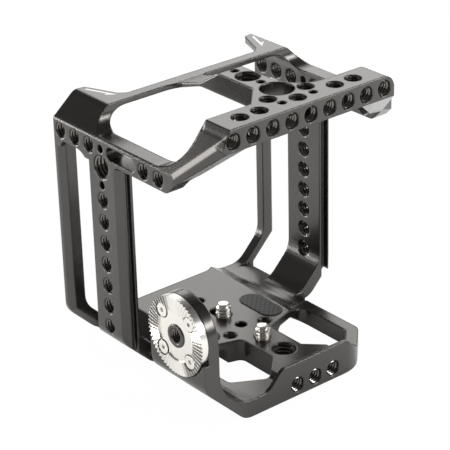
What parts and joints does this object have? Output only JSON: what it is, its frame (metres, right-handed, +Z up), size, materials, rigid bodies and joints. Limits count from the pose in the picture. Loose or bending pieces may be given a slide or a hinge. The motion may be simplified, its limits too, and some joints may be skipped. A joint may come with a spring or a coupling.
{
  "type": "camera cage",
  "caption": "Open machined frame that surrounds a camera, with threaded rows, side rails, a toothed handle disc and captive screws under the deck.",
  "frame": {"origin": "centre of the bounding box, at the underside", "axes": "+Z up, -Y to the lens side, +X to the right seen from the lens side's back, the toothed disc is on the -X side"},
  "size_m": [0.1164, 0.0974, 0.1188],
  "materials": {
    "anodised_aluminium": "bead-blasted, satin black anodised",
    "stainless_steel": "turned, bare",
    "rubber": "matt with a fine cross-hatch"
  },
  "bodies": {
    "cage": {"cage_frame": "anodised_aluminium", "rosette": "stainless_steel", "rosette_screw_1": "stainless_steel", "rosette_screw_2": "stainless_steel", "rosette_screw_3": "stainless_steel", "rosette_screw_4": "stainless_steel", "grip_pad_left": "rubber", "grip_pad_right": "rubber"},
    "washer_front": {"retaining_washer_front": "stainless_steel"},
    "screw_front": {"camera_screw_front": "stainless_steel"},
    "washer_rear": {"retaining_washer_rear": "stainless_steel"},
    "screw_rear": {"camera_screw_rear": "stainless_steel"}
  },
  "joints": [
    {"name": "front_screw_float", "type": "slide", "parent": "cage", "child": "washer_front", "axis": [0, 0, 1], "range_m": [0, 0.0007]},
    {"name": "front_screw_turn", "type": "hinge", "parent": "washer_front", "child": "screw_front", "pos_m": [-0.00265, -0.01725, 0.0048], "axis": [0, 0, 1], "continuous": true},
    {"name": "rear_screw_slide", "type": "slide", "parent": "cage", "child": "washer_rear", "axis": [0, 1, 0], "range_m": [0, 0.0034]},
    {"name": "rear_screw_turn", "type": "hinge", "parent": "washer_rear", "child": "screw_rear", "pos_m": [-0.00265, 0.00715, 0.0048], "axis": [0, 0, 1], "continuous": true}
  ]
}
